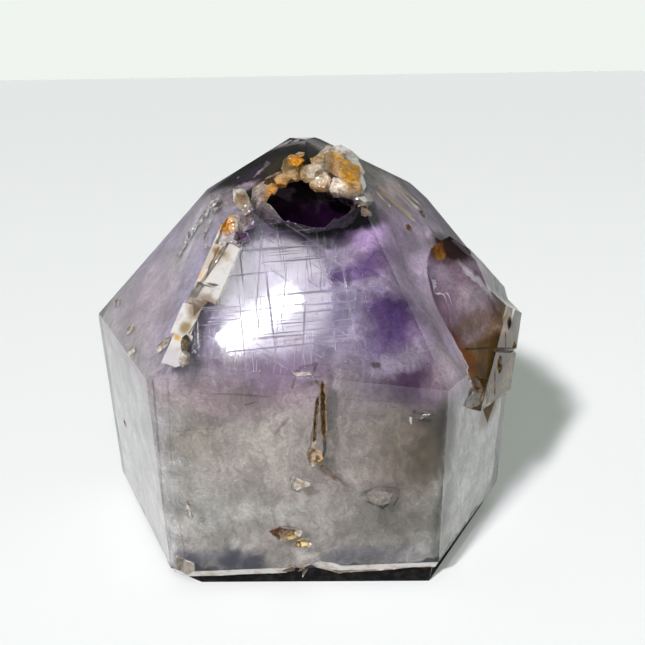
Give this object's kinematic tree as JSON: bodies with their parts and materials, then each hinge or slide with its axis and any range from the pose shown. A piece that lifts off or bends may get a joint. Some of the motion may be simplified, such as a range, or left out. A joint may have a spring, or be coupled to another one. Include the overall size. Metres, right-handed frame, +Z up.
{
  "type": "raw amethyst point",
  "caption": "Free-standing quartz crystal with a blunt six-sided pyramid top, polished faces, raw ledges, an iron-stained hollow and a small side crystal; stands flat for display.",
  "frame": {"origin": "middle of the box round the crystal, on the surface that it stands on", "axes": "+Z up through the point, -Y towards the widest upright face, +X to its right as seen from the front"},
  "size_m": [0.1222, 0.101, 0.1107],
  "materials": {
    "amethyst": "milky to clear quartz with purple growth zones, polished faces with fine scratches, raw broken hollows stained ochre and brown by iron"
  },
  "bodies": {
    "root": {"amethyst_point": "amethyst"}
  },
  "joints": []
}
